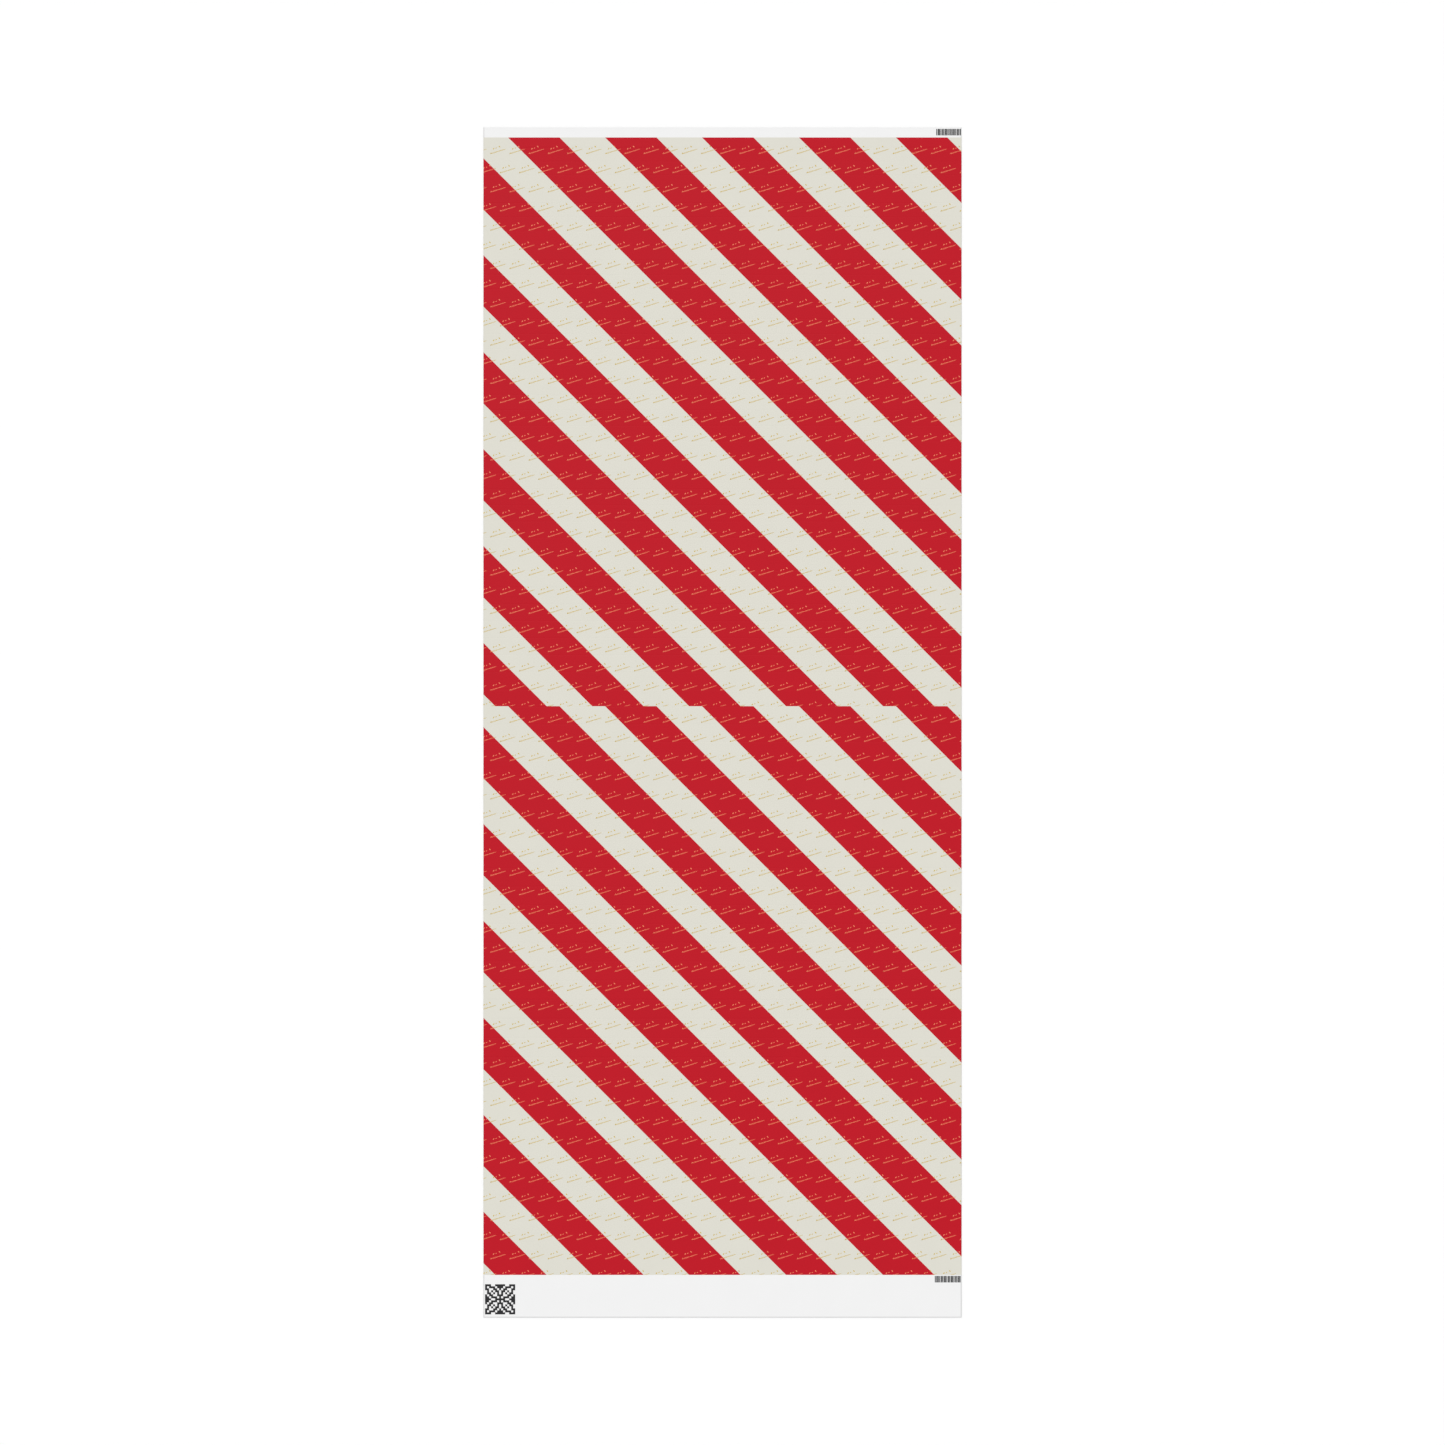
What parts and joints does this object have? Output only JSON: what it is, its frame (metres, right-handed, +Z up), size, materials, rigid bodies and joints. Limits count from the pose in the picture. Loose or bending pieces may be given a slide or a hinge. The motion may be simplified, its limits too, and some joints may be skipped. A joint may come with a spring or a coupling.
{
  "type": "wrapping paper sheet",
  "caption": "Full-length sheet of striped gift wrap, unrolled flat with the print up, that winds up from its head edge into a loose roll.",
  "frame": {"origin": "middle of the back face of the flat sheet, on the table", "axes": "+X across the sheet, +Y along it from the foot margin to the head margin, +Z up out of the printed face"},
  "size_m": [0.762, 1.8968, 0.0001],
  "materials": {
    "blank_paper": "unprinted white paper, matte",
    "printed_paper": "satin print in red and cream stripes with fine gold flourishes, on white paper with a blank matte back"
  },
  "bodies": {
    "sheet_foot": {"foot_margin": "blank_paper", "loose_tail": "printed_paper"},
    "roll_band_01": {"roll_band_01": "printed_paper"},
    "roll_band_02": {"roll_band_02": "printed_paper"},
    "roll_band_03": {"roll_band_03": "printed_paper"},
    "roll_band_04": {"roll_band_04": "printed_paper"},
    "roll_band_05": {"roll_band_05": "printed_paper"},
    "roll_band_06": {"roll_band_06": "printed_paper"},
    "roll_band_07": {"roll_band_07": "printed_paper"},
    "roll_band_08": {"roll_band_08": "printed_paper"},
    "roll_band_09": {"roll_band_09": "printed_paper"},
    "roll_band_10": {"roll_band_10": "printed_paper"},
    "roll_band_11": {"roll_band_11": "printed_paper"},
    "roll_band_12": {"roll_band_12": "printed_paper"},
    "roll_band_13": {"roll_band_13": "printed_paper"},
    "roll_band_14": {"roll_band_14": "printed_paper"},
    "roll_band_15": {"roll_band_15": "printed_paper"},
    "roll_band_16": {"roll_band_16": "printed_paper"},
    "roll_band_17": {"roll_band_17": "printed_paper"},
    "roll_band_18": {"roll_band_18": "printed_paper"},
    "roll_band_19": {"roll_band_19": "printed_paper"},
    "roll_band_20": {"roll_band_20": "printed_paper"},
    "roll_band_21": {"roll_band_21": "printed_paper"},
    "roll_band_22": {"roll_band_22": "printed_paper"},
    "roll_band_23": {"roll_band_23": "printed_paper"},
    "roll_band_24": {"roll_band_24": "printed_paper"},
    "roll_band_25": {"roll_band_25": "printed_paper"},
    "roll_band_26": {"roll_band_26": "printed_paper"},
    "roll_band_27": {"roll_band_27": "printed_paper"},
    "roll_band_28": {"roll_band_28": "printed_paper"},
    "roll_band_29": {"roll_band_29": "printed_paper"},
    "roll_band_30": {"roll_band_30": "printed_paper"},
    "roll_band_31": {"roll_band_31": "printed_paper"},
    "roll_band_32": {"roll_band_32": "printed_paper"},
    "roll_band_33": {"roll_band_33": "printed_paper"},
    "roll_band_34": {"roll_band_34": "printed_paper"},
    "roll_band_35": {"roll_band_35": "printed_paper"},
    "roll_band_36": {"roll_band_36": "printed_paper"},
    "roll_band_37": {"roll_band_37": "printed_paper"},
    "roll_band_38": {"roll_band_38": "printed_paper"},
    "roll_band_39": {"roll_band_39": "printed_paper"},
    "roll_band_40": {"roll_band_40": "printed_paper"},
    "roll_band_41": {"roll_band_41": "printed_paper"},
    "roll_band_42": {"roll_band_42": "printed_paper"},
    "roll_band_43": {"roll_band_43": "printed_paper"},
    "roll_band_44": {"roll_band_44": "printed_paper"},
    "roll_band_45": {"roll_band_45": "printed_paper"},
    "roll_band_46": {"roll_band_46": "printed_paper"},
    "roll_band_47": {"roll_band_47": "printed_paper"},
    "roll_band_48": {"roll_band_48": "printed_paper"},
    "roll_band_49": {"roll_band_49": "printed_paper"},
    "roll_band_50": {"roll_band_50": "printed_paper"},
    "roll_band_51": {"roll_band_51": "printed_paper"},
    "roll_band_52": {"roll_band_52": "printed_paper"},
    "roll_band_53": {"roll_band_53": "printed_paper"},
    "roll_band_54": {"roll_band_54": "printed_paper"},
    "roll_band_55": {"roll_band_55": "printed_paper"},
    "roll_band_56": {"roll_band_56": "printed_paper"},
    "roll_band_57": {"roll_band_57": "printed_paper"},
    "head_band": {"head_band": "printed_paper"}
  },
  "joints": [
    {"name": "bend_01", "type": "hinge", "parent": "sheet_foot", "child": "roll_band_01", "pos_m": [0, -0.5804, 0.00012], "axis": [1, 0, 0], "range_deg": [0, 36]},
    {"name": "bend_02", "type": "hinge", "parent": "roll_band_01", "child": "roll_band_02", "pos_m": [0, -0.54923, 0.00012], "axis": [1, 0, 0], "range_deg": [0, 36]},
    {"name": "bend_03", "type": "hinge", "parent": "roll_band_02", "child": "roll_band_03", "pos_m": [0, -0.51822, 0.00012], "axis": [1, 0, 0], "range_deg": [0, 36]},
    {"name": "bend_04", "type": "hinge", "parent": "roll_band_03", "child": "roll_band_04", "pos_m": [0, -0.48739, 0.00012], "axis": [1, 0, 0], "range_deg": [0, 36]},
    {"name": "bend_05", "type": "hinge", "parent": "roll_band_04", "child": "roll_band_05", "pos_m": [0, -0.45672, 0.00012], "axis": [1, 0, 0], "range_deg": [0, 36]},
    {"name": "bend_06", "type": "hinge", "parent": "roll_band_05", "child": "roll_band_06", "pos_m": [0, -0.42622, 0.00012], "axis": [1, 0, 0], "range_deg": [0, 36]},
    {"name": "bend_07", "type": "hinge", "parent": "roll_band_06", "child": "roll_band_07", "pos_m": [0, -0.39589, 0.00012], "axis": [1, 0, 0], "range_deg": [0, 36]},
    {"name": "bend_08", "type": "hinge", "parent": "roll_band_07", "child": "roll_band_08", "pos_m": [0, -0.36573, 0.00012], "axis": [1, 0, 0], "range_deg": [0, 36]},
    {"name": "bend_09", "type": "hinge", "parent": "roll_band_08", "child": "roll_band_09", "pos_m": [0, -0.33574, 0.00012], "axis": [1, 0, 0], "range_deg": [0, 36]},
    {"name": "bend_10", "type": "hinge", "parent": "roll_band_09", "child": "roll_band_10", "pos_m": [0, -0.30592, 0.00012], "axis": [1, 0, 0], "range_deg": [0, 36]},
    {"name": "bend_11", "type": "hinge", "parent": "roll_band_10", "child": "roll_band_11", "pos_m": [0, -0.27626, 0.00012], "axis": [1, 0, 0], "range_deg": [0, 36]},
    {"name": "bend_12", "type": "hinge", "parent": "roll_band_11", "child": "roll_band_12", "pos_m": [0, -0.24678, 0.00012], "axis": [1, 0, 0], "range_deg": [0, 36]},
    {"name": "bend_13", "type": "hinge", "parent": "roll_band_12", "child": "roll_band_13", "pos_m": [0, -0.21746, 0.00012], "axis": [1, 0, 0], "range_deg": [0, 36]},
    {"name": "bend_14", "type": "hinge", "parent": "roll_band_13", "child": "roll_band_14", "pos_m": [0, -0.18832, 0.00012], "axis": [1, 0, 0], "range_deg": [0, 36]},
    {"name": "bend_15", "type": "hinge", "parent": "roll_band_14", "child": "roll_band_15", "pos_m": [0, -0.15934, 0.00012], "axis": [1, 0, 0], "range_deg": [0, 36]},
    {"name": "bend_16", "type": "hinge", "parent": "roll_band_15", "child": "roll_band_16", "pos_m": [0, -0.13053, 0.00012], "axis": [1, 0, 0], "range_deg": [0, 36]},
    {"name": "bend_17", "type": "hinge", "parent": "roll_band_16", "child": "roll_band_17", "pos_m": [0, -0.10189, 0.00012], "axis": [1, 0, 0], "range_deg": [0, 36]},
    {"name": "bend_18", "type": "hinge", "parent": "roll_band_17", "child": "roll_band_18", "pos_m": [0, -0.07342, 0.00012], "axis": [1, 0, 0], "range_deg": [0, 36]},
    {"name": "bend_19", "type": "hinge", "parent": "roll_band_18", "child": "roll_band_19", "pos_m": [0, -0.04512, 0.00012], "axis": [1, 0, 0], "range_deg": [0, 36]},
    {"name": "bend_20", "type": "hinge", "parent": "roll_band_19", "child": "roll_band_20", "pos_m": [0, -0.01699, 0.00012], "axis": [1, 0, 0], "range_deg": [0, 36]},
    {"name": "bend_21", "type": "hinge", "parent": "roll_band_20", "child": "roll_band_21", "pos_m": [0, 0.01098, 0.00012], "axis": [1, 0, 0], "range_deg": [0, 36]},
    {"name": "bend_22", "type": "hinge", "parent": "roll_band_21", "child": "roll_band_22", "pos_m": [0, 0.03877, 0.00012], "axis": [1, 0, 0], "range_deg": [0, 36]},
    {"name": "bend_23", "type": "hinge", "parent": "roll_band_22", "child": "roll_band_23", "pos_m": [0, 0.0664, 0.00012], "axis": [1, 0, 0], "range_deg": [0, 36]},
    {"name": "bend_24", "type": "hinge", "parent": "roll_band_23", "child": "roll_band_24", "pos_m": [0, 0.09385, 0.00012], "axis": [1, 0, 0], "range_deg": [0, 36]},
    {"name": "bend_25", "type": "hinge", "parent": "roll_band_24", "child": "roll_band_25", "pos_m": [0, 0.12114, 0.00012], "axis": [1, 0, 0], "range_deg": [0, 36]},
    {"name": "bend_26", "type": "hinge", "parent": "roll_band_25", "child": "roll_band_26", "pos_m": [0, 0.14826, 0.00012], "axis": [1, 0, 0], "range_deg": [0, 36]},
    {"name": "bend_27", "type": "hinge", "parent": "roll_band_26", "child": "roll_band_27", "pos_m": [0, 0.17521, 0.00012], "axis": [1, 0, 0], "range_deg": [0, 36]},
    {"name": "bend_28", "type": "hinge", "parent": "roll_band_27", "child": "roll_band_28", "pos_m": [0, 0.20199, 0.00012], "axis": [1, 0, 0], "range_deg": [0, 36]},
    {"name": "bend_29", "type": "hinge", "parent": "roll_band_28", "child": "roll_band_29", "pos_m": [0, 0.2286, 0.00012], "axis": [1, 0, 0], "range_deg": [0, 36]},
    {"name": "bend_30", "type": "hinge", "parent": "roll_band_29", "child": "roll_band_30", "pos_m": [0, 0.25505, 0.00012], "axis": [1, 0, 0], "range_deg": [0, 36]},
    {"name": "bend_31", "type": "hinge", "parent": "roll_band_30", "child": "roll_band_31", "pos_m": [0, 0.28132, 0.00012], "axis": [1, 0, 0], "range_deg": [0, 36]},
    {"name": "bend_32", "type": "hinge", "parent": "roll_band_31", "child": "roll_band_32", "pos_m": [0, 0.30743, 0.00012], "axis": [1, 0, 0], "range_deg": [0, 36]},
    {"name": "bend_33", "type": "hinge", "parent": "roll_band_32", "child": "roll_band_33", "pos_m": [0, 0.33336, 0.00012], "axis": [1, 0, 0], "range_deg": [0, 36]},
    {"name": "bend_34", "type": "hinge", "parent": "roll_band_33", "child": "roll_band_34", "pos_m": [0, 0.35913, 0.00012], "axis": [1, 0, 0], "range_deg": [0, 36]},
    {"name": "bend_35", "type": "hinge", "parent": "roll_band_34", "child": "roll_band_35", "pos_m": [0, 0.38473, 0.00012], "axis": [1, 0, 0], "range_deg": [0, 36]},
    {"name": "bend_36", "type": "hinge", "parent": "roll_band_35", "child": "roll_band_36", "pos_m": [0, 0.41016, 0.00012], "axis": [1, 0, 0], "range_deg": [0, 36]},
    {"name": "bend_37", "type": "hinge", "parent": "roll_band_36", "child": "roll_band_37", "pos_m": [0, 0.43542, 0.00012], "axis": [1, 0, 0], "range_deg": [0, 36]},
    {"name": "bend_38", "type": "hinge", "parent": "roll_band_37", "child": "roll_band_38", "pos_m": [0, 0.46051, 0.00012], "axis": [1, 0, 0], "range_deg": [0, 36]},
    {"name": "bend_39", "type": "hinge", "parent": "roll_band_38", "child": "roll_band_39", "pos_m": [0, 0.48543, 0.00012], "axis": [1, 0, 0], "range_deg": [0, 36]},
    {"name": "bend_40", "type": "hinge", "parent": "roll_band_39", "child": "roll_band_40", "pos_m": [0, 0.51019, 0.00012], "axis": [1, 0, 0], "range_deg": [0, 36]},
    {"name": "bend_41", "type": "hinge", "parent": "roll_band_40", "child": "roll_band_41", "pos_m": [0, 0.53477, 0.00012], "axis": [1, 0, 0], "range_deg": [0, 36]},
    {"name": "bend_42", "type": "hinge", "parent": "roll_band_41", "child": "roll_band_42", "pos_m": [0, 0.55919, 0.00012], "axis": [1, 0, 0], "range_deg": [0, 36]},
    {"name": "bend_43", "type": "hinge", "parent": "roll_band_42", "child": "roll_band_43", "pos_m": [0, 0.58343, 0.00012], "axis": [1, 0, 0], "range_deg": [0, 36]},
    {"name": "bend_44", "type": "hinge", "parent": "roll_band_43", "child": "roll_band_44", "pos_m": [0, 0.60751, 0.00012], "axis": [1, 0, 0], "range_deg": [0, 36]},
    {"name": "bend_45", "type": "hinge", "parent": "roll_band_44", "child": "roll_band_45", "pos_m": [0, 0.63142, 0.00012], "axis": [1, 0, 0], "range_deg": [0, 36]},
    {"name": "bend_46", "type": "hinge", "parent": "roll_band_45", "child": "roll_band_46", "pos_m": [0, 0.65516, 0.00012], "axis": [1, 0, 0], "range_deg": [0, 36]},
    {"name": "bend_47", "type": "hinge", "parent": "roll_band_46", "child": "roll_band_47", "pos_m": [0, 0.67873, 0.00012], "axis": [1, 0, 0], "range_deg": [0, 36]},
    {"name": "bend_48", "type": "hinge", "parent": "roll_band_47", "child": "roll_band_48", "pos_m": [0, 0.70213, 0.00012], "axis": [1, 0, 0], "range_deg": [0, 36]},
    {"name": "bend_49", "type": "hinge", "parent": "roll_band_48", "child": "roll_band_49", "pos_m": [0, 0.72536, 0.00012], "axis": [1, 0, 0], "range_deg": [0, 36]},
    {"name": "bend_50", "type": "hinge", "parent": "roll_band_49", "child": "roll_band_50", "pos_m": [0, 0.74843, 0.00012], "axis": [1, 0, 0], "range_deg": [0, 36]},
    {"name": "bend_51", "type": "hinge", "parent": "roll_band_50", "child": "roll_band_51", "pos_m": [0, 0.77132, 0.00012], "axis": [1, 0, 0], "range_deg": [0, 36]},
    {"name": "bend_52", "type": "hinge", "parent": "roll_band_51", "child": "roll_band_52", "pos_m": [0, 0.79405, 0.00012], "axis": [1, 0, 0], "range_deg": [0, 36]},
    {"name": "bend_53", "type": "hinge", "parent": "roll_band_52", "child": "roll_band_53", "pos_m": [0, 0.81661, 0.00012], "axis": [1, 0, 0], "range_deg": [0, 36]},
    {"name": "bend_54", "type": "hinge", "parent": "roll_band_53", "child": "roll_band_54", "pos_m": [0, 0.83899, 0.00012], "axis": [1, 0, 0], "range_deg": [0, 36]},
    {"name": "bend_55", "type": "hinge", "parent": "roll_band_54", "child": "roll_band_55", "pos_m": [0, 0.86121, 0.00012], "axis": [1, 0, 0], "range_deg": [0, 36]},
    {"name": "bend_56", "type": "hinge", "parent": "roll_band_55", "child": "roll_band_56", "pos_m": [0, 0.88326, 0.00012], "axis": [1, 0, 0], "range_deg": [0, 36]},
    {"name": "bend_57", "type": "hinge", "parent": "roll_band_56", "child": "roll_band_57", "pos_m": [0, 0.90514, 0.00012], "axis": [1, 0, 0], "range_deg": [0, 36]},
    {"name": "roll_up", "type": "hinge", "parent": "roll_band_57", "child": "head_band", "pos_m": [0, 0.92686, 0.00012], "axis": [1, 0, 0], "range_deg": [0, 36]}
  ],
  "couplings": [
    {"joint": "bend_01", "follows": "roll_up", "ratio": 1},
    {"joint": "bend_02", "follows": "roll_up", "ratio": 1},
    {"joint": "bend_03", "follows": "roll_up", "ratio": 1},
    {"joint": "bend_04", "follows": "roll_up", "ratio": 1},
    {"joint": "bend_05", "follows": "roll_up", "ratio": 1},
    {"joint": "bend_06", "follows": "roll_up", "ratio": 1},
    {"joint": "bend_07", "follows": "roll_up", "ratio": 1},
    {"joint": "bend_08", "follows": "roll_up", "ratio": 1},
    {"joint": "bend_09", "follows": "roll_up", "ratio": 1},
    {"joint": "bend_10", "follows": "roll_up", "ratio": 1},
    {"joint": "bend_11", "follows": "roll_up", "ratio": 1},
    {"joint": "bend_12", "follows": "roll_up", "ratio": 1},
    {"joint": "bend_13", "follows": "roll_up", "ratio": 1},
    {"joint": "bend_14", "follows": "roll_up", "ratio": 1},
    {"joint": "bend_15", "follows": "roll_up", "ratio": 1},
    {"joint": "bend_16", "follows": "roll_up", "ratio": 1},
    {"joint": "bend_17", "follows": "roll_up", "ratio": 1},
    {"joint": "bend_18", "follows": "roll_up", "ratio": 1},
    {"joint": "bend_19", "follows": "roll_up", "ratio": 1},
    {"joint": "bend_20", "follows": "roll_up", "ratio": 1},
    {"joint": "bend_21", "follows": "roll_up", "ratio": 1},
    {"joint": "bend_22", "follows": "roll_up", "ratio": 1},
    {"joint": "bend_23", "follows": "roll_up", "ratio": 1},
    {"joint": "bend_24", "follows": "roll_up", "ratio": 1},
    {"joint": "bend_25", "follows": "roll_up", "ratio": 1},
    {"joint": "bend_26", "follows": "roll_up", "ratio": 1},
    {"joint": "bend_27", "follows": "roll_up", "ratio": 1},
    {"joint": "bend_28", "follows": "roll_up", "ratio": 1},
    {"joint": "bend_29", "follows": "roll_up", "ratio": 1},
    {"joint": "bend_30", "follows": "roll_up", "ratio": 1},
    {"joint": "bend_31", "follows": "roll_up", "ratio": 1},
    {"joint": "bend_32", "follows": "roll_up", "ratio": 1},
    {"joint": "bend_33", "follows": "roll_up", "ratio": 1},
    {"joint": "bend_34", "follows": "roll_up", "ratio": 1},
    {"joint": "bend_35", "follows": "roll_up", "ratio": 1},
    {"joint": "bend_36", "follows": "roll_up", "ratio": 1},
    {"joint": "bend_37", "follows": "roll_up", "ratio": 1},
    {"joint": "bend_38", "follows": "roll_up", "ratio": 1},
    {"joint": "bend_39", "follows": "roll_up", "ratio": 1},
    {"joint": "bend_40", "follows": "roll_up", "ratio": 1},
    {"joint": "bend_41", "follows": "roll_up", "ratio": 1},
    {"joint": "bend_42", "follows": "roll_up", "ratio": 1},
    {"joint": "bend_43", "follows": "roll_up", "ratio": 1},
    {"joint": "bend_44", "follows": "roll_up", "ratio": 1},
    {"joint": "bend_45", "follows": "roll_up", "ratio": 1},
    {"joint": "bend_46", "follows": "roll_up", "ratio": 1},
    {"joint": "bend_47", "follows": "roll_up", "ratio": 1},
    {"joint": "bend_48", "follows": "roll_up", "ratio": 1},
    {"joint": "bend_49", "follows": "roll_up", "ratio": 1},
    {"joint": "bend_50", "follows": "roll_up", "ratio": 1},
    {"joint": "bend_51", "follows": "roll_up", "ratio": 1},
    {"joint": "bend_52", "follows": "roll_up", "ratio": 1},
    {"joint": "bend_53", "follows": "roll_up", "ratio": 1},
    {"joint": "bend_54", "follows": "roll_up", "ratio": 1},
    {"joint": "bend_55", "follows": "roll_up", "ratio": 1},
    {"joint": "bend_56", "follows": "roll_up", "ratio": 1},
    {"joint": "bend_57", "follows": "roll_up", "ratio": 1}
  ]
}
